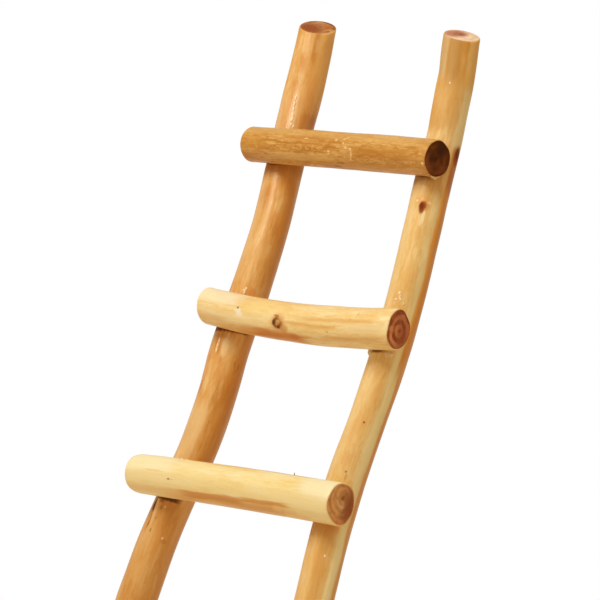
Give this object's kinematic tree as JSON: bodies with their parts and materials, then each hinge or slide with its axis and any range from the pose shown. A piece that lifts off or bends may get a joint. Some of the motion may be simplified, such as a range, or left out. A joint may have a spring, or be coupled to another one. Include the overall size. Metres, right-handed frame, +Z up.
{
  "type": "pole ladder",
  "caption": "Rustic ladder of crooked peeled branch rails, with round rungs seated across their front, leaning back on level-sawn feet.",
  "frame": {"origin": "on the floor, at the middle of the leaning ladder's footprint: midway across its width, and midway between the front of its feet and the back of its rail tops", "axes": "+X along the rungs to the right as seen from the front, +Y towards what the ladder leans on, +Z up from the floor"},
  "size_m": [0.1646, 0.2669, 0.5148],
  "materials": {
    "left_rail_wood": "orange-brown peeled branch under clear gloss lacquer",
    "right_rail_wood": "honey peeled branch under clear gloss lacquer",
    "pale_rung_wood": "pale cream peeled branch under clear gloss lacquer, dark ringed sawn ends",
    "golden_rung_wood": "golden-brown peeled branch under clear gloss lacquer, dark sawn ends",
    "zinc_screw": "zinc-plated steel"
  },
  "bodies": {
    "root": {"left_rail": "left_rail_wood", "right_rail": "right_rail_wood", "rung_5": "golden_rung_wood", "rung_1": "pale_rung_wood", "rung_2": "pale_rung_wood", "rung_3": "pale_rung_wood", "rung_4": "pale_rung_wood", "left_screw_1": "zinc_screw", "left_screw_2": "zinc_screw", "left_screw_3": "zinc_screw", "left_screw_4": "zinc_screw", "left_screw_5": "zinc_screw", "right_screw_1": "zinc_screw", "right_screw_2": "zinc_screw", "right_screw_3": "zinc_screw", "right_screw_4": "zinc_screw", "right_screw_5": "zinc_screw"}
  },
  "joints": []
}
